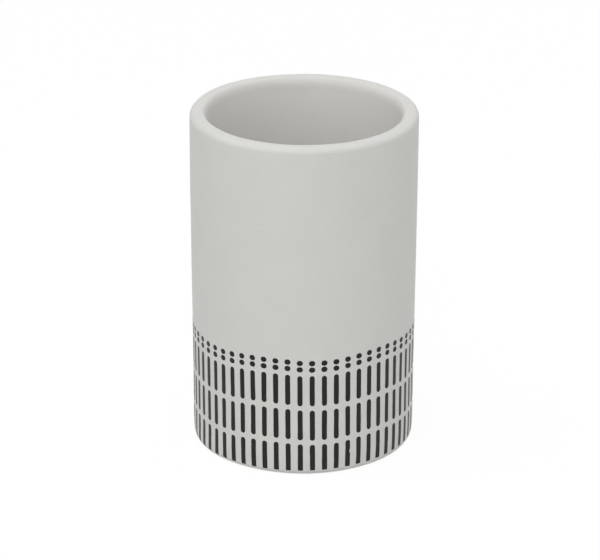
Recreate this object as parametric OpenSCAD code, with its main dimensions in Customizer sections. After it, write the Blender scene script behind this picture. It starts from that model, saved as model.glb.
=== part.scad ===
// Bathroom tumbler: a straight glazed cup that tapers a little to its foot,
// with a printed band of upright dashes and two rows of dots round its lower third.
// The clay, its coats of glaze and each printed row are separate solids that lie face to face.
// Origin at the middle of the foot ring on the table, +Z up. Millimetres and degrees.

/* [Cup] */
// Height from the table to the glazed rim
height = 107; // [95:0.5:125]
// Outside diameter at the rim
mouth_d = 70; // [64:0.2:80]
// How much less the straight wall measures across at the table than at the rim
taper = 1.4; // [0:0.1:8]
// Thickness of the wall with its glaze
wall_t = 5.2; // [4.8:0.1:6.5]
// Height of the glazed inside floor above the table
floor_t = 5.6; // [4:0.1:9]
// Radius between the inside floor and the wall
inner_fillet = 5; // [2:0.5:9]

/* [Rim] */
// Radius of the rim's outer edge
lip_outer_round = 1.8; // [0.8:0.1:2.4]
// How far the rounding of the rim's inner edge reaches inwards
lip_inner_w = 1.6; // [0.8:0.1:2.2]
// How far the rounding of the rim's inner edge reaches down
lip_inner_h = 3.2; // [1:0.1:4.5]

/* [Foot] */
// How far the wall draws in just above the foot
foot_tuck = 0.3; // [0:0.05:0.8]
// Height at which the wall starts to draw in
foot_tuck_h = 9; // [5:0.5:14]
// How far the rounding under the wall reaches inwards
foot_round_w = 3; // [1.5:0.1:4.5]
// How far the rounding under the wall reaches up
foot_round_h = 2.5; // [1.5:0.1:4]
// Width of the flat ring that stands on the table
foot_ring_w = 3.4; // [2:0.1:6]
// Radius of the ring's inner edge
ring_round = 0.6; // [0.4:0.1:1]
// Radius between the ring and the hollow under the cup
recess_round = 1; // [0.5:0.1:1.5]

/* [Glaze] */
// Thickness of each coat of glaze
glaze_t = 0.3; // [0.2:0.05:0.4]
// Height above the table at which the outer glaze ends
glaze_line_h = 0.5; // [0.3:0.1:1]

/* [Print] */
// Thickness of the ink
ink_t = 0.08; // [0.06:0.01:0.15]
// Number of printed columns round the cup
columns = 58; // [40:1:66]
// Angle of the first column from the front
column_at = -1.53; // [-3:0.01:3]
// Angle by which the columns lean, their lower ends to the right
column_lean = 0.42; // [0:0.01:1.5]
// Length of a dash
dash_l = 10.05; // [6:0.05:12]
// Width of a dash
dash_w = 1.57; // [1:0.01:2]
// Gap between the ends of two dashes
dash_gap = 1.4; // [1:0.05:3]
// Width of a dot
dot_w = 1.9; // [1.65:0.05:2.2]
// Height of a dot
dot_h = 1.77; // [1:0.01:2]
// Gap between the two rows of dots
dot_gap = 0.35; // [0.25:0.05:2]
// Gap between the upper dashes and the dots
dot_rise = 1.2; // [0.5:0.05:4]
// Height of the lowest dashes' lower ends, before the band's straight edge cuts them
band_h = 1.1; // [0.8:0.1:3]
// Height of the band's straight lower edge
band_cut_h = 2.05; // [1.8:0.05:4]
// Angle by which the rows lean, up to the right
band_tilt = 0.85; // [0:0.01:1.5]
// How far the columns step up and down from the mean
wave_h = 0.35; // [0:0.01:0.6]
// Number of steps up and down round the cup
waves = 6; // [2:1:10]
// Angle of the first high columns from the front
wave_at = 40.5; // [0:0.1:60]

/* [Hidden] */
clay_colour = "#d9cdbd";
glaze_colour = "#dcdbd6";
ink_colour = "#2f2f2e";
facets = 180; // sides of a full turn
mark_facets = 36; // sides of a mark's round end
arc_steps = 10; // straight pieces in a quarter of a rounding
tuck_steps = 4; // straight pieces in the drawn-in wall above the foot
wave_flat_share = 1.4; // how flat the tops of the steps are: 1 gives a plain wave
overrun = 3; // how far a cutting shape runs past what it cuts

// Outside radius of the straight wall at height z
function straight_r(z) = (mouth_d - taper * (1 - z / height)) / 2;

// Outside radius at height z, drawn in along a parabola above the foot
function wall_r(z) = straight_r(z) - foot_tuck * pow(max(0, 1 - z / foot_tuck_h), 2);

// Inside radius at height z
function inside_r(z) = straight_r(z) - wall_t;

// Centres of the roundings, each as a radius from the axis and, where it isn't plain, a height
foot_x = wall_r(foot_round_h) - foot_round_w;
lip_x = wall_r(height - lip_outer_round) - lip_outer_round;
inner_lip_x = inside_r(height - lip_inner_h) + lip_inner_w;
floor_z = floor_t + inner_fillet;
floor_x = inside_r(floor_z) - inner_fillet;
ring_in = foot_x - foot_ring_w;
recess_x = ring_in - ring_round - recess_round;
recess_h = ring_round + recess_round;

// Where the outer and inner coats meet, half way across the flat of the rim
crest_r = (lip_x + inner_lip_x) / 2;

// Angle on the foot's rounding at which the outer glaze ends
line_angle = asin(1 - glaze_line_h / foot_round_h);

// Heights of the printed rows, from the lowest dashes up
dash_pitch = dash_l + dash_gap;
lower_dash_z = band_h + dash_l / 2;
middle_dash_z = lower_dash_z + dash_pitch;
upper_dash_z = middle_dash_z + dash_pitch;
lower_dot_z = upper_dash_z + dash_l / 2 + dot_rise + dot_h / 2;
upper_dot_z = lower_dot_z + dot_h + dot_gap;

// Height of a column above its row: the rows' lean, and steps up and down with flat tops
function column_rise(a) = mouth_d / 2 * tan(band_tilt) * sin(a)
    + wave_h * max(-1, min(1, wave_flat_share * cos(waves * (a - wave_at))));

// The outlines below lie t inside the finished surface, so a negative t lies outside it

// Rounding of the foot, from the angle given up to the wall
function foot_points(t, from) = [for (i = [0:arc_steps])
    let (a = from * (1 - i / arc_steps))
    [foot_x + (foot_round_w - t) * cos(a), foot_round_h * (1 - sin(a))]];

// Drawn-in wall above the foot
function tuck_points(t) = [for (i = [1:tuck_steps])
    let (z = foot_round_h + (foot_tuck_h - foot_round_h) * i / tuck_steps)
    [wall_r(z) - t, z]];

// Outer edge of the rim
function lip_points(t) = [for (i = [0:arc_steps])
    let (a = 90 * i / arc_steps, r = lip_outer_round - t)
    [lip_x + r * cos(a), height - lip_outer_round + r * sin(a)]];

// Inner edge of the rim
function inner_lip_points(t) = [for (i = [0:arc_steps])
    let (a = 90 + 90 * i / arc_steps)
    [inner_lip_x + (lip_inner_w - t) * cos(a), height - lip_inner_h + (lip_inner_h - t) * sin(a)]];

// Rounding from the inside wall to the floor, and on to the axis
function floor_points(t) = concat([for (i = [0:arc_steps])
    let (a = -90 * i / arc_steps, r = inner_fillet + t)
    [floor_x + r * cos(a), floor_z + r * sin(a)]], [[0, floor_t - t]]);

// Hollow under the cup, from the axis out to the ring
function recess_points(t) = concat([[0, recess_h + t]], [for (i = [0:arc_steps])
    let (a = 90 - 90 * i / arc_steps, r = recess_round + t)
    [recess_x + r * cos(a), ring_round + r * sin(a)]]);

// Inner edge of the standing ring
function ring_points() = [for (i = [0:arc_steps])
    let (a = 180 + 90 * i / arc_steps)
    [ring_in + ring_round * cos(a), ring_round + ring_round * sin(a)]];

// Whole outside, from the foot to the rim
function outside_points(t, from) = concat(foot_points(t, from), tuck_points(t), lip_points(t));

function backwards(points) = [for (i = [len(points) - 1:-1:0]) points[i]];

// A shape turned about the axis
module turned(points) {
    rotate_extrude($fn = facets)
        polygon(points);
}

// The clay: wall, floor and standing ring, smaller than the finished cup by the glaze
module clay_body() {
    color(clay_colour)
        turned(concat(recess_points(glaze_t), ring_points(), outside_points(glaze_t, 90),
                      inner_lip_points(glaze_t), floor_points(glaze_t)));
}

// Glaze from the line above the foot up to the middle of the rim
module outer_glaze() {
    color(glaze_colour)
        turned(concat(outside_points(0, line_angle), [[crest_r, height], [crest_r, height - glaze_t]],
                      backwards(outside_points(glaze_t, line_angle))));
}

// Glaze from the middle of the rim down the inside and over the floor
module inner_glaze() {
    color(glaze_colour)
        turned(concat([[crest_r, height]], inner_lip_points(0), floor_points(0),
                      backwards(floor_points(glaze_t)), backwards(inner_lip_points(glaze_t)),
                      [[crest_r, height - glaze_t]]));
}

// Glaze in the hollow under the cup, let in flush with the standing ring
module base_glaze() {
    color(glaze_colour)
        turned(concat(recess_points(0), backwards(recess_points(glaze_t))));
}

// A layer of ink over the whole outside
module ink_layer() {
    turned(concat(outside_points(-ink_t, line_angle), backwards(outside_points(0, line_angle))));
}

// Everything below the band's straight lower edge
module below_band() {
    rotate([0, -band_tilt, 0])
        translate([0, 0, band_cut_h - foot_tuck_h])
            cylinder(h = foot_tuck_h, d = mouth_d + 2 * overrun, $fn = facets);
}

// A flat upright mark with round ends, width w and length l, or a lying one where w is more
module mark(w, l) {
    end_d = min(w, l);
    run_w = w - end_d;
    run_l = l - end_d;
    union() {
        if (run_l > 0)
            square([w, run_l], center = true);
        if (run_w > 0)
            square([run_w, l], center = true);
        for (side = [-1, 1])
            translate([side * run_w / 2, side * run_l / 2])
                circle(d = end_d, $fn = mark_facets);
    }
}

// How far a row at height z is turned about the axis, so that the columns lean as one
function row_turn(z) = -column_lean * (z - middle_dash_z) / straight_r(z);

// Blocks through the wall, one for each column of a row at height z
module mark_blocks(w, l, z) {
    block_from = inside_r(z);
    block_to = straight_r(z) + overrun;
    for (i = [0:columns - 1]) {
        a = column_at + row_turn(z) + 360 * i / columns;
        rotate([90, 0, a])
            translate([0, z + column_rise(a), block_from])
                linear_extrude(height = block_to - block_from)
                    rotate(column_lean)
                        mark(w, l);
    }
}

// A printed row: the ink that lies where the blocks pass through it
module printed_row(w, l, z) {
    intersection() {
        ink_layer();
        mark_blocks(w, l, z);
    }
}

module dots_upper_row() {
    color(ink_colour)
        printed_row(dot_w, dot_h, upper_dot_z);
}

module dots_lower_row() {
    color(ink_colour)
        printed_row(dot_w, dot_h, lower_dot_z);
}

module dashes_upper_row() {
    color(ink_colour)
        printed_row(dash_w, dash_l, upper_dash_z);
}

module dashes_middle_row() {
    color(ink_colour)
        printed_row(dash_w, dash_l, middle_dash_z);
}

// The lowest dashes end square, where the band's straight edge cuts them
module dashes_lower_row() {
    color(ink_colour)
        difference() {
            printed_row(dash_w, dash_l, lower_dash_z);
            below_band();
        }
}

clay_body();
outer_glaze();
inner_glaze();
base_glaze();
dots_upper_row();
dots_lower_row();
dashes_upper_row();
dashes_middle_row();
dashes_lower_row();
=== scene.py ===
import math
import bpy
import numpy as np
from mathutils import Matrix, Vector


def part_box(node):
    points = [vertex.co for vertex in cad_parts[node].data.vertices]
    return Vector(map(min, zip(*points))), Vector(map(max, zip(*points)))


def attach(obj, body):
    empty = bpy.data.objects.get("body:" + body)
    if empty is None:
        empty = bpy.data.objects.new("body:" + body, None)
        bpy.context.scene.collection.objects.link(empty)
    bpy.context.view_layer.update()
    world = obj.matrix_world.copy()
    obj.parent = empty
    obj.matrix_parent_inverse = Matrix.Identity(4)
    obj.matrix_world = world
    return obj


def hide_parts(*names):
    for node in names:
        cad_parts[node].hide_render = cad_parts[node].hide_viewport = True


# A bathroom tumbler of off-white satin glaze with a black printed band round its lower part.
# Everything is worked out in millimetres and put into the meshes in metres, in the frame's own place.

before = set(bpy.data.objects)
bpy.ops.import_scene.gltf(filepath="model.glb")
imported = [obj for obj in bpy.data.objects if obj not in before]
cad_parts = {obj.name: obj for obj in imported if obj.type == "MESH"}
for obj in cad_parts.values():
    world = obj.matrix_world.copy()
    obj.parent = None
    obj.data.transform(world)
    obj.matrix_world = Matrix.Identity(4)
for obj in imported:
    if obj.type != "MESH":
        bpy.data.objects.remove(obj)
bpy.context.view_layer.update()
mm = 0.001
turn = 2 * math.pi
quarter = turn / 4

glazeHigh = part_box("outer_glaze")[1]
cup = {
    "height": round(glazeHigh.z / mm, 1),  # to the crest of the rim
    "mouth": round(2 * glazeHigh.x / mm, 1),  # across the rim
    "taper": 1.4,  # less across at the table
    "wall": 5.2,
    "floor": 5.6,  # the inside floor above the table
    "fillet": 5.0,  # between that floor and the wall
    "lipOuter": 1.8,  # the rim's outer rounding
    "lipInner": 1.6,  # the rim's inner rounding, inwards and downwards
    "lipDrop": 3.2,
    "tuck": 0.3,  # how far the wall draws in above the foot
    "tuckHeight": 9.0,  # where that begins
    "footIn": 3.0,  # rounding under the wall, inwards and upwards
    "footUp": 2.5,
    "ring": 3.4,  # width of the bare standing ring
    "ringEdge": 0.6,  # rounding of its inner edge
    "hollow": 1.0,  # rounding between that edge and the hollow
    "glaze": 0.3,  # thickness of each coat
    "glazeLine": 0.5,  # height of the outer coat's lower edge
    "around": 320,  # points round the axis
    "arcPoints": 14,  # points in each rounding
    "tuckPoints": 7,  # points up the tuck
    "wallStep": 3.5,  # height of a strip of the wall
    "flatShares": (0, 0.25, 0.5, 0.75),  # of a flat's radius, where it has points
    "sharpEdge": 50,  # degrees, past which an edge isn't smoothed
}

# How far the cup strays from true. Each wave is its share, its crests round the cup, its phase, and its
# drift in radians for each mm up.
hand = {
    "wallWave": 0.035,  # in and out, all over the wall
    "wallWaves": [(1, 2, 0.6, 0), (0.5, 3, 0, -1 / 21), (0.3, 7, 0, 1 / 9)],
    "rimWave": 0.05,  # up and down, at the rim
    "rimWaves": [(1, 3, 2.1, 0), (0.6, 5, 0.4, 0), (0.5, 11, 0, 0)],
    "rimReach": 14.0,  # how far down that reaches
    "oval": 0.125,  # how far the mouth is out of round
    "ovalWaves": [(1, 2, quarter, 0), (0.6, 1, 0, 0)],
    "ovalReach": 20.0,  # how far down that reaches
    "waist": 0.1,  # how far the wall draws in at its waist
    "waistHeight": 26.0,
    "waistReach": 16.0,  # how far up and down it reaches
    "footWave": 0.17,  # how far the foot is out of round
    "footWaves": [(1, 2, 2.1 + quarter, 0), (0.5, 6, quarter, 0)],
    "footLeft": 0.5,  # how much more of that the left side has, and the right side less
    "footReach": 8.0,  # how far up that reaches
}
nearAxis = 0.001  # mm, the least radius that anything is divided by


# The cup's outline, in points of radius and height


def straightRadius(z):
    # a cone: the mouth's radius less half the taper, in proportion to the way down
    return (cup["mouth"] - cup["taper"] * (1 - z / cup["height"])) / 2


def wallRadius(z):
    # the cone, less a parabola that begins at the tuck's height
    return straightRadius(z) - cup["tuck"] * np.clip(1 - z / cup["tuckHeight"], 0, None) ** 2


def arc(centre, across, up, fromAngle, toAngle):
    # part of an ellipse: centre + (across * cos, up * sin) over even steps of the angle
    angle = np.radians(np.linspace(fromAngle, toAngle, cup["arcPoints"]))
    return np.stack([centre[0] + across * np.cos(angle), centre[1] + up * np.sin(angle)], 1)


footX = wallRadius(cup["footUp"]) - cup["footIn"]
lipX = straightRadius(cup["height"] - cup["lipOuter"]) - cup["lipOuter"]
innerLipX = straightRadius(cup["height"] - cup["lipDrop"]) - cup["wall"] + cup["lipInner"]
crestX = (lipX + innerLipX) / 2  # where the coats meet on the rim
floorZ = cup["floor"] + cup["fillet"]
floorX = straightRadius(floorZ) - cup["wall"] - cup["fillet"]
ringX = footX - cup["ring"]
hollowX = ringX - cup["ringEdge"] - cup["hollow"]
lineAngle = math.degrees(math.asin(1 - cup["glazeLine"] / cup["footUp"]))  # below the foot's top


def outsideRadius(z):
    # the foot's quarter ellipse below its top, the drawn-in cone above it
    low = np.clip(1 - z / cup["footUp"], 0, 1)
    return np.where(z < cup["footUp"], footX + cup["footIn"] * np.sqrt(1 - low ** 2), wallRadius(z))


def wallLine(inset, low, high):
    # the cone less the inset, at even steps of height, both ends left to the roundings
    z = np.linspace(low, high, int((high - low) / cup["wallStep"]) + 2)[1:-1]
    return np.stack([straightRadius(z) - inset, z], 1)


def outsideLine(inset, footAngle):
    # up the outside: the foot's ellipse from footAngle below its top, the drawn-in cone, the straight
    # one and the rim's quarter circle. The inset moves them inwards, but lifts nothing off the table.
    lipZ = cup["height"] - cup["lipOuter"]
    rounding = cup["lipOuter"] - inset
    tuckZ = np.linspace(cup["footUp"], cup["tuckHeight"], cup["tuckPoints"])[1:]
    return np.concatenate([
        arc((footX, cup["footUp"]), cup["footIn"] - inset, cup["footUp"], -footAngle, 0),
        np.stack([wallRadius(tuckZ) - inset, tuckZ], 1),
        wallLine(inset, cup["tuckHeight"], lipZ),
        arc((lipX, lipZ), rounding, rounding, 0, 90),
    ])


def insideLine(inset):
    # down the inside: the rim's quarter ellipse, the cone less the wall, the fillet's quarter circle and
    # the floor to the axis. The inset moves them into the clay.
    lipZ = cup["height"] - cup["lipDrop"]
    rounding = cup["fillet"] + inset
    return np.concatenate([
        arc((innerLipX, lipZ), cup["lipInner"] - inset, cup["lipDrop"] - inset, 90, 180),
        wallLine(cup["wall"] - inset, floorZ, lipZ)[::-1],
        arc((floorX, floorZ), rounding, rounding, 0, -90),
        [[floorX * share, cup["floor"] - inset] for share in cup["flatShares"][::-1]],
    ])


def hollowLine(inset):
    # out under the cup: the hollow's flat from the axis, then a quarter circle down to the ring's edge
    rounding = cup["hollow"] + inset
    top = cup["ringEdge"] + rounding
    return np.concatenate([
        [[hollowX * share, top] for share in cup["flatShares"]],
        arc((hollowX, cup["ringEdge"]), rounding, rounding, 90, 0),
    ])


def waves(table, angle, z):
    # the sum of share * sin(crests * angle + phase + drift * z)
    return sum(share * np.sin(crests * angle + phase + drift * z) for share, crests, phase, drift in table)


def stray(points):
    # how a cast cup strays from true. Waves round the axis move the wall in and out, make the mouth oval,
    # lift and lower the rim, and put the foot out of round, times 1 - footLeft * sin(angle). All but the
    # first fade out along the wall. A bell curve of the height gives a slight waist.
    x, y, z = points[..., 0], points[..., 1], points[..., 2]
    angle = np.arctan2(x, -y)
    radius = np.maximum(np.hypot(x, y), nearAxis)
    below = cup["height"] - z
    rimFade = np.clip(1 - below / hand["rimReach"], 0, 1) ** 2
    ovalFade = np.clip(1 - below / hand["ovalReach"], 0, 1)
    footFade = np.clip(1 - z / hand["footReach"], 0, 1) * (1 - hand["footLeft"] * np.sin(angle))
    out = hand["wallWave"] * waves(hand["wallWaves"], angle, z)
    out += hand["oval"] * waves(hand["ovalWaves"], angle, z) * ovalFade
    out -= hand["waist"] * np.exp(-((z - hand["waistHeight"]) / hand["waistReach"]) ** 2)
    out += hand["footWave"] * waves(hand["footWaves"], angle, z) * footFade
    lift = hand["rimWave"] * waves(hand["rimWaves"], angle, z) * rimFade
    stretch = 1 + out * np.clip(radius / footX, 0, 1) / radius
    return np.stack([x * stretch, y * stretch, z + lift], -1)


# Meshes


def addObject(name, data):
    item = bpy.data.objects.new(name, data)
    bpy.context.scene.collection.objects.link(item)
    return item


def addPiece(name, points, faces, sharpEdge, material, nodeName):
    # one piece of the cup, strayed from true and put in metres, in the place of one node of the frame
    mesh = bpy.data.meshes.new(name)
    mesh.from_pydata((stray(points).reshape(-1, 3) * mm).tolist(), [], faces)
    mesh.polygons.foreach_set("use_smooth", np.ones(len(mesh.polygons), bool))
    mesh.set_sharp_from_angle(angle=math.radians(sharpEdge))
    mesh.materials.append(material)
    piece = addObject(name, mesh)
    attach(piece, "root")
    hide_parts(nodeName)


def turnedPiece(name, line, material, nodeName):
    # the outline turned about the axis: x = radius * sin(angle), y = -radius * cos(angle), z = height.
    # An outline that begins and ends on the axis is closed there by two fans, any other by its own ring.
    onAxis = line[0, 0] == 0 and line[-1, 0] == 0
    body = line[1:-1] if onAxis else line
    angle = np.arange(cup["around"]) * turn / cup["around"]
    radius, height = body[:, :1], body[:, 1:]
    points = np.stack([radius * np.sin(angle), -radius * np.cos(angle), height + 0 * angle], -1)
    rows, cols = points.shape[:2]
    points = points.reshape(-1, 3)
    row = np.arange(rows - 1 if onAxis else rows)[:, None]
    col = np.arange(cols)
    thisRow, nextRow = row * cols, ((row + 1) % rows) * cols
    nextCol = (col + 1) % cols
    quads = np.stack([thisRow + col, thisRow + nextCol, nextRow + nextCol, nextRow + col], -1)
    faces = quads.reshape(-1, 4).tolist()
    if onAxis:
        start, end, lastRow = len(points), len(points) + 1, (rows - 1) * cols
        points = np.concatenate([points, [[0, 0, line[0, 1]], [0, 0, line[-1, 1]]]])
        faces += np.stack([np.full(cols, start), nextCol, col], 1).tolist()
        faces += np.stack([np.full(cols, end), lastRow + col, lastRow + nextCol], 1).tolist()
    addPiece(name, points, faces, cup["sharpEdge"], material, nodeName)


# Materials

mixFirst, mixSecond, mixResult = 6, 7, 2  # the numbers of a Mix node's sockets for colours


def srgb(text):
    # sRGB hex to linear red, green, blue and 1, by the standard's own curve
    part = np.array([int(text[i:i + 2], 16) for i in (1, 3, 5)]) / 255
    return [*np.where(part <= 0.04045, part / 12.92, ((part + 0.055) / 1.055) ** 2.4).tolist(), 1.0]


def addNode(owner, kind, fields=None):
    # one node of a material or of the world. Each field is one of its attributes, or an input by name or
    # number, which takes a value or is linked to another node's output.
    node = owner.node_tree.nodes.new("ShaderNode" + kind)
    for key, value in (fields or {}).items():
        if isinstance(value, bpy.types.NodeSocket):
            owner.node_tree.links.new(value, node.inputs[key])
        elif isinstance(key, str) and hasattr(node, key):
            setattr(node, key, value)
        else:
            node.inputs[key].default_value = value
    return node


def newMaterial(name):
    material = bpy.data.materials.new(name)
    material.use_nodes = True
    material.node_tree.nodes.clear()
    return material


satin = {
    "colour": "#eeeeeb",
    "shadeTintedInnerColour": "#f0eeeb",  # of the coat inside: painted shade tint, a touch warmer than the same glaze outside
    "cloud": "#e8e7e3",  # where the coat is a little thicker
    "speck": "#d0cec8",
    "cloudSize": 9.0,  # mm across a cloud
    "mottle": 0.68,  # how strong the clouds' finer mottling is
    "speckCell": 2.0,  # mm between places where a speck may be
    "speckSize": 0.26,  # radius of a speck, mm
    "speckBlur": 0.5,  # share of that radius by which its edge fades in and out
    "speckless": 0.3,  # share of the places that are left without one
    "speckStrength": 0.3,  # of the strongest
    "peelSize": 1.6,  # mm across a dimple of the surface
    "peelDepth": 0.004,  # mm
    "roughness": 0.55,
    "roughnessSpread": 0.04,  # how much less and more of it the clouds give
    "ior": 1.5,
}


def satinGlaze(name, colour):
    # satin-matt stoneware glaze, dipped and fired: a soft even white with a broad dull sheen, faint
    # clouds and mottling where the coat is thicker, and small pale specks of grit from the clay
    material = newMaterial(name)
    place = addNode(material, "TexCoord").outputs["Object"]
    cloud = addNode(material, "TexNoise", {
        "Vector": place,
        "Scale": 1 / (satin["cloudSize"] * mm),
        "Detail": 5.0,
        "Roughness": satin["mottle"],
    }).outputs["Fac"]
    clouded = addNode(material, "Mix", {
        "data_type": "RGBA",
        "Factor": cloud,
        mixFirst: srgb(colour),
        mixSecond: srgb(satin["cloud"]),
    })
    cell = addNode(material, "TexVoronoi", {"Vector": place, "Scale": 1 / (satin["speckCell"] * mm)})
    speckRadius = satin["speckSize"] / satin["speckCell"]
    nearness = addNode(material, "MapRange", {
        "Value": cell.outputs["Distance"],
        "From Min": (1 - satin["speckBlur"]) * speckRadius,
        "From Max": (1 + satin["speckBlur"]) * speckRadius,
        "To Min": 1.0,
        "To Max": 0.0,
    })
    chosen = addNode(material, "SeparateColor", {"Color": cell.outputs["Color"]})
    picked = addNode(material, "MapRange", {
        "Value": chosen.outputs["Red"],
        "From Min": satin["speckless"],
        "To Max": satin["speckStrength"],
    })
    strength = addNode(material, "Math", {
        "operation": "MULTIPLY",
        0: nearness.outputs["Result"],
        1: picked.outputs["Result"],
    })
    specked = addNode(material, "Mix", {
        "data_type": "RGBA",
        "Factor": strength.outputs["Value"],
        mixFirst: clouded.outputs[mixResult],
        mixSecond: srgb(satin["speck"]),
    })
    peel = addNode(material, "TexNoise", {
        "Vector": place,
        "Scale": 1 / (satin["peelSize"] * mm),
        "Detail": 2.0,
    })
    bump = addNode(material, "Bump", {"Height": peel.outputs["Fac"], "Distance": satin["peelDepth"] * mm})
    sheen = addNode(material, "MapRange", {
        "Value": cloud,
        "To Min": satin["roughness"] - satin["roughnessSpread"],
        "To Max": satin["roughness"] + satin["roughnessSpread"],
    })
    shader = addNode(material, "BsdfPrincipled", {
        "Base Color": specked.outputs[mixResult],
        "Roughness": sheen.outputs["Result"],
        "IOR": satin["ior"],
        "Normal": bump.outputs["Normal"],
    })
    addNode(material, "OutputMaterial", {"Surface": shader.outputs["BSDF"]})
    return material


ink = {
    "colour": "#171716",
    "thin": "#1e1e1d",  # where less ink was laid
    "patchSize": 1.2,  # mm across a thinner patch
    "patchDepth": 0.004,  # mm
    "roughness": 0.44,
    "ior": 1.45,
    "specular": 0.3,
    "thickness": 0.045,  # mm, at the middle of a mark
    "edge": 0.7,  # share of that at a mark's edge
    "sunk": 0.01,  # mm of it inside the glaze
}


def printedInk():
    # black ceramic ink, screen printed and fired on: dense and matt, a touch thinner in patches
    material = newMaterial("printedInk")
    patch = addNode(material, "TexNoise", {
        "Vector": addNode(material, "TexCoord").outputs["Object"],
        "Scale": 1 / (ink["patchSize"] * mm),
        "Detail": 2.0,
    }).outputs["Fac"]
    tone = addNode(material, "Mix", {
        "data_type": "RGBA",
        "Factor": patch,
        mixFirst: srgb(ink["colour"]),
        mixSecond: srgb(ink["thin"]),
    })
    bump = addNode(material, "Bump", {"Height": patch, "Distance": ink["patchDepth"] * mm})
    shader = addNode(material, "BsdfPrincipled", {
        "Base Color": tone.outputs[mixResult],
        "Roughness": ink["roughness"],
        "IOR": ink["ior"],
        "Specular IOR Level": ink["specular"],
        "Normal": bump.outputs["Normal"],
    })
    addNode(material, "OutputMaterial", {"Surface": shader.outputs["BSDF"]})
    return material


clay = {
    "colour": "#d8d0c2",
    "grain": "#c6bba9",
    "grainSize": 0.5,  # mm
    "grainDepth": 0.03,  # mm
    "roughness": 0.85,
    "ior": 1.5,
}


def bareClay():
    # fired stoneware, sponged and left bare: dry, matt and a little warmer than the glaze, with fine grit
    material = newMaterial("bareClay")
    grit = addNode(material, "TexNoise", {
        "Vector": addNode(material, "TexCoord").outputs["Object"],
        "Scale": 1 / (clay["grainSize"] * mm),
        "Detail": 4.0,
    }).outputs["Fac"]
    tone = addNode(material, "Mix", {
        "data_type": "RGBA",
        "Factor": grit,
        mixFirst: srgb(clay["colour"]),
        mixSecond: srgb(clay["grain"]),
    })
    bump = addNode(material, "Bump", {"Height": grit, "Distance": clay["grainDepth"] * mm})
    shader = addNode(material, "BsdfPrincipled", {
        "Base Color": tone.outputs[mixResult],
        "Roughness": clay["roughness"],
        "IOR": clay["ior"],
        "Normal": bump.outputs["Normal"],
    })
    addNode(material, "OutputMaterial", {"Surface": shader.outputs["BSDF"]})
    return material


glazeFinish = satinGlaze("satinGlaze", satin["colour"])
# the inside takes a second copy of the one glaze, tinted warmer as painted shade for how it looks down in
# the cup
shadeTintedInnerFinish = satinGlaze("satinGlazeInsideShadeTint", satin["shadeTintedInnerColour"])
inkFinish = printedInk()
clayFinish = bareClay()
print("materials made")

# The clay and its coats

coat = cup["glaze"]
crest = np.array([[crestX, cup["height"]], [crestX, cup["height"] - coat]])
ringLine = arc((ringX, cup["ringEdge"]), cup["ringEdge"], cup["ringEdge"], 180, 270)
clayLine = np.concatenate([hollowLine(coat), ringLine, outsideLine(coat, 90), insideLine(coat)])
outerLine = np.concatenate([outsideLine(0, lineAngle), crest, outsideLine(coat, lineAngle)[::-1]])
innerLine = np.concatenate([insideLine(coat)[::-1], crest[::-1], insideLine(0)])
underLine = np.concatenate([hollowLine(0), hollowLine(coat)[::-1]])
turnedPiece("clay_cup", clayLine, clayFinish, "clay_body")
turnedPiece("glaze_outside", outerLine, glazeFinish, "outer_glaze")
turnedPiece("glaze_inside", innerLine, shadeTintedInnerFinish, "inner_glaze")
turnedPiece("glaze_under", underLine, glazeFinish, "base_glaze")
print("cup turned")

# The printed band

band = {
    "columns": 58,
    "first": -1.53,  # degrees from the front
    "lean": 0.42,  # degrees, the columns' lower ends to the right
    "dashLength": 10.05,
    "dashWidth": 1.57,
    "dashGap": 1.4,
    "dotWidth": 1.9,
    "dotHeight": 1.77,
    "dotGap": 0.35,
    "dotRise": 1.2,  # from the top dashes to the lower dots
    "low": 1.1,  # where the lowest dashes would end uncut
    "cut": 2.05,  # the band's straight lower edge
    "cutCorner": 0.2,  # rounding of the cut dashes' corners
    "tilt": 0.85,  # degrees, the rows up to the right
    "wave": 0.35,  # the columns step up and down by this much
    "waves": 6,  # times round the cup
    "waveAt": 40.5,  # degrees from the front to the middle of a high step
    "waveFlat": 1.4,  # how many times taller the wave is before its tops are cut flat
    "ragged": 0.035,  # how far an edge strays
    "shift": 0.03,  # how far a whole mark strays up and down
    "lengthen": 0.6,  # share of such a stray that a mark's length takes
    "widen": 0.3,  # share of its width that a mark gains for each mm of such a stray
    "seed": 58,
    "endAngles": (16, 38, 62),  # degrees round a mark's corner to each row of its points
    "dotRows": 1,  # rows of points between a mark's corners
    "dashRows": 6,
    "cutRows": 8,
    "crowding": 1.3,  # above 1, these rows lie closer together near the foot's rounding
    "sharpEdge": 60,  # degrees, past which an edge isn't smoothed
}
chip = {  # where a flake of ink is missing from the right edge of a dash of the lowest row
    "column": 4,
    "up": 7.5,  # mm above the table
    "tall": 1.5,
    "deep": 0.22,
    "rowShares": (-0.5, -0.2, 0.2, 0.5),  # of its height, where the rows of points round it lie
}
chance = np.random.default_rng(band["seed"])
columnAngle = np.radians(band["first"]) + np.arange(band["columns"]) * turn / band["columns"]
dashPitch = band["dashLength"] + band["dashGap"]
midBand = band["low"] + dashPitch + band["dashLength"] / 2


def smoothed(noise):
    # each value averaged with its neighbours along the mark: (before + 2 * itself + after) / 4
    padded = np.pad(noise, ((0, 0), (1, 1)), mode="edge")
    return (padded[:, :-2] + 2 * padded[:, 1:-1] + padded[:, 2:]) / 4


def padFaces(marks, rows, ring):
    # four-sided faces between each row of points and the next, and one face across either end
    start = np.arange(marks)[:, None, None] * rows * ring
    row = np.arange(rows - 1)[:, None] * ring
    col = np.arange(ring)
    here, beside = start + row + col, start + row + (col + 1) % ring
    quads = np.stack([here, here + ring, beside + ring, beside], -1).reshape(-1, 4)
    lowEnds = start[:, 0] + col
    highEnds = lowEnds[:, ::-1] + (rows - 1) * ring
    return quads.tolist() + lowEnds.tolist() + highEnds.tolist()


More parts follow.
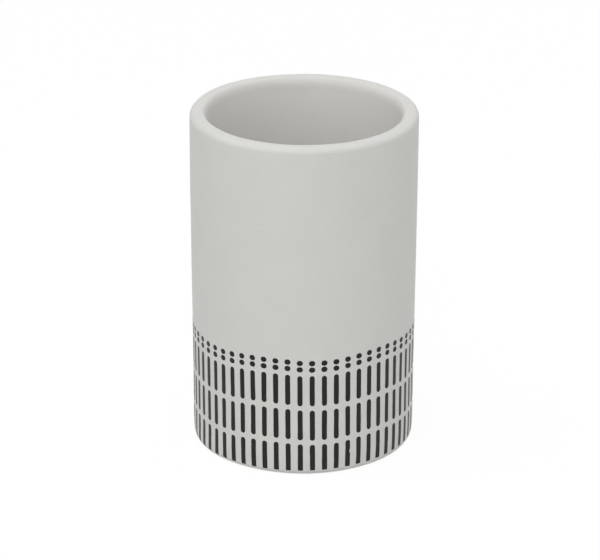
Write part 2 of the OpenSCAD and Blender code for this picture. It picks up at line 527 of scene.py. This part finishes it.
def printedRow(name, nodeName, low, high, width, lowCorner, highCorner, middleRows, flake=None):
    # every mark is a pad swept up the wall: at distance d from an end its half width is the full one
    # less corner * (1 - sqrt(1 - (1 - d / corner)^2)), both edges stray by smoothed noise, and the lean
    # turns each point by -tan(lean) * (its height - the band's middle) / radius
    shift = chance.normal(0, band["shift"], (3, band["columns"]))
    low = (low + shift[0])[:, None]
    high = (high + shift[0] + band["lengthen"] * shift[1])[:, None]
    halfWay = 0.5
    share = np.linspace(0, 1, middleRows) ** band["crowding"] if middleRows > 1 else halfWay
    middle = low + lowCorner + (high - highCorner - low - lowCorner) * share
    if flake:  # four rows of points of one mark close in on the place
        lastRow = middleRows - 1
        firstRow = lastRow - len(flake["rowShares"])
        aboveMiddle = flake["tall"] * np.array(flake["rowShares"])
        middle[flake["column"], firstRow:lastRow] = flake["up"] + aboveMiddle
    endAngle = np.radians(band["endAngles"])
    fromEnd = 1 - np.cos(endAngle)
    z = np.concatenate([low + lowCorner * fromEnd, middle, (high - highCorner * fromEnd)[:, ::-1]], 1)
    fullness = np.concatenate([np.sin(endAngle), np.ones(middleRows), np.sin(endAngle)[::-1]])
    corner = np.repeat([lowCorner, highCorner], [len(endAngle) + middleRows, len(endAngle)])
    half = (width / 2 - corner * (1 - fullness)) * (1 + band["widen"] * shift[2][:, None])
    left = smoothed(chance.normal(0, band["ragged"], z.shape)) * fullness - half
    right = smoothed(chance.normal(0, band["ragged"], z.shape)) * fullness + half
    if flake:  # and the two between the first and the last of them draw in at the right
        inner = slice(len(endAngle) + firstRow + 1, len(endAngle) + lastRow - 1)
        right[flake["column"], inner] -= flake["deep"]
    # round the pad's section: left and right inside the glaze, then right, middle and left on top
    across = np.stack([left, right, right, (left + right) / 2, left], -1)
    edge = ink["thickness"] * ink["edge"]
    lift = np.array([-ink["sunk"], -ink["sunk"], edge, ink["thickness"], edge])
    radius, height = outsideRadius(z)[..., None], z[..., None]
    lean = math.tan(math.radians(band["lean"])) * (height - midBand)
    angle = columnAngle[:, None, None] + (across - lean) / radius
    out = radius + lift
    points = np.stack([out * np.sin(angle), -out * np.cos(angle), height + 0 * angle], -1)
    faces = padFaces(*points.shape[:3])
    addPiece(name, points, faces, band["sharpEdge"], inkFinish, nodeName)


# the rows' tilt, and the columns' steps up and down, a cosine with its tops and bottoms cut flat
tilt = cup["mouth"] / 2 * math.tan(math.radians(band["tilt"])) * np.sin(columnAngle)
steps = np.cos(band["waves"] * (columnAngle - math.radians(band["waveAt"])))
rise = tilt + band["wave"] * np.clip(band["waveFlat"] * steps, -1, 1)
cutEdge = band["cut"] + tilt
lowDash, midDash, topDash = [band["low"] + i * dashPitch + rise for i in range(3)]
lowDot = topDash + band["dashLength"] + band["dotRise"]
topDot = lowDot + band["dotHeight"] + band["dotGap"]
dotCorner, dashCorner = band["dotHeight"] / 2, band["dashWidth"] / 2
dot = (band["dotWidth"], dotCorner, dotCorner, band["dotRows"])
dash = (band["dashWidth"], dashCorner, dashCorner, band["dashRows"])
cutDash = (band["dashWidth"], band["cutCorner"], dashCorner, band["cutRows"])
printedRow("dots_top", "dots_upper_row", topDot, topDot + band["dotHeight"], *dot)
printedRow("dots_low", "dots_lower_row", lowDot, lowDot + band["dotHeight"], *dot)
printedRow("dashes_top", "dashes_upper_row", topDash, topDash + band["dashLength"], *dash)
printedRow("dashes_middle", "dashes_middle_row", midDash, midDash + band["dashLength"], *dash)
printedRow("dashes_low", "dashes_lower_row", cutEdge, lowDash + band["dashLength"], *cutDash, chip)
print("band printed")

# Studio

studio = {
    "floorColour": "#d6d6d4",
    "floorSize": 6000,  # mm
    "floorWhite": 0.88,  # how far it is seen as plain white
    "floorGlow": 1.07,  # strength of that white
    "backColour": "#ffffff",  # of the world, and of the floor where it is seen
    "skyLight": 0.3,  # strength of the even light from all round
    "lampDistance": 1400,  # mm from the cup
    "lampSide": 1300,  # mm
    "lamps": {  # degrees round from the front and up from the floor, watts
        "softboxFront": (0, 35, 6.8),
        "softboxLeft": (-90, 60, 6.0),
        "softboxRight": (120, 40, 3.7),
    },
}


def whenSeen(owner):
    # 1 where the camera, a reflection or glass sees the surface, 0 where it only gives light: the
    # largest of the three kinds of ray
    path = addNode(owner, "LightPath")
    seen = path.outputs["Is Camera Ray"]
    for ray in ("Is Glossy Ray", "Is Transmission Ray"):
        larger = addNode(owner, "Math", {"operation": "MAXIMUM", 0: seen, 1: path.outputs[ray]})
        seen = larger.outputs["Value"]
    return seen


def makeWorld():
    # white where it is seen, plain even light elsewhere
    world = bpy.data.worlds.new("studioWorld")
    bpy.context.scene.world = world
    world.use_nodes = True
    world.node_tree.nodes.clear()
    strength = addNode(world, "MapRange", {
        "Value": whenSeen(world),
        "To Min": studio["skyLight"],
        "To Max": 1.0,
    })
    back = addNode(world, "Background", {
        "Color": srgb(studio["backColour"]),
        "Strength": strength.outputs["Result"],
    })
    addNode(world, "OutputWorld", {"Surface": back.outputs["Background"]})


def makeFloor():
    # a pale matt floor, brightened nearly to white where it is seen, so only the shadow shows
    half = studio["floorSize"] / 2 * mm
    corners = [(-half, -half, 0), (half, -half, 0), (half, half, 0), (-half, half, 0)]
    mesh = bpy.data.meshes.new("studioFloor")
    mesh.from_pydata(corners, [], [(0, 1, 2, 3)])
    material = newMaterial("paperFloor")
    paper = addNode(material, "BsdfDiffuse", {"Color": srgb(studio["floorColour"])})
    white = addNode(material, "Emission", {
        "Color": srgb(studio["backColour"]),
        "Strength": studio["floorGlow"],
    })
    seen = addNode(material, "Math", {
        "operation": "MULTIPLY",
        0: whenSeen(material),
        1: studio["floorWhite"],
    })
    paler = addNode(material, "MixShader", {
        "Fac": seen.outputs["Value"],
        1: paper.outputs["BSDF"],
        2: white.outputs["Emission"],
    })
    addNode(material, "OutputMaterial", {"Surface": paler.outputs["Shader"]})
    mesh.materials.append(material)
    floor = addObject("studio_floor", mesh)


def makeLamps():
    # each stands on a sphere round the cup's foot and faces it, in the direction
    # (cos above * sin around, -cos above * cos around, sin above)
    for name, (around, above, watts) in studio["lamps"].items():
        around, above = math.radians(around), math.radians(above)
        level = math.cos(above)
        place = Vector((level * math.sin(around), -level * math.cos(around), math.sin(above)))
        data = bpy.data.lights.new(name, "AREA")
        data.size = studio["lampSide"] * mm
        data.energy = watts
        lamp = addObject(name, data)
        lamp.visible_camera = False
        lamp.location = place * studio["lampDistance"] * mm
        lamp.rotation_euler = place.to_track_quat("Z", "Y").to_euler()


viewpoint = {  # fitted to the outline of the cup
    "back": 948.2,  # mm in front of the axis
    "up": 442.78,  # mm above the floor
    "turn": -0.067,  # degrees to the side, down and about the lens
    "down": 22.446,
    "roll": 0.138,
    "lens": 198.66,  # mm
    "sensor": 36,  # mm across
    "clip": (0.05, 20),  # m, the nearest and the farthest that it sees
}


def makeCamera():
    # looks along (sin turn cos down, cos turn cos down, -sin down), then rolls about that line
    side, down, roll = (math.radians(viewpoint[key]) for key in ("turn", "down", "roll"))
    ahead = Vector((math.sin(side) * math.cos(down), math.cos(side) * math.cos(down), -math.sin(down)))
    right = Vector((math.cos(side), -math.sin(side), 0))
    upward = right.cross(ahead)
    rolledRight = math.cos(roll) * right + math.sin(roll) * upward
    rolledUp = math.cos(roll) * upward - math.sin(roll) * right
    data = bpy.data.cameras.new("studioCamera")
    data.lens = viewpoint["lens"]
    data.sensor_width = viewpoint["sensor"]
    data.clip_start, data.clip_end = viewpoint["clip"]
    camera = addObject("studioCamera", data)
    facing = Matrix((rolledRight, rolledUp, -ahead)).transposed().to_4x4()
    camera.matrix_world = Matrix.Translation(Vector((0, -viewpoint["back"], viewpoint["up"])) * mm) @ facing
    bpy.context.scene.camera = camera


makeWorld()
makeFloor()
makeLamps()
makeCamera()
bpy.context.scene.view_settings.view_transform = "Standard"
print("studio set")
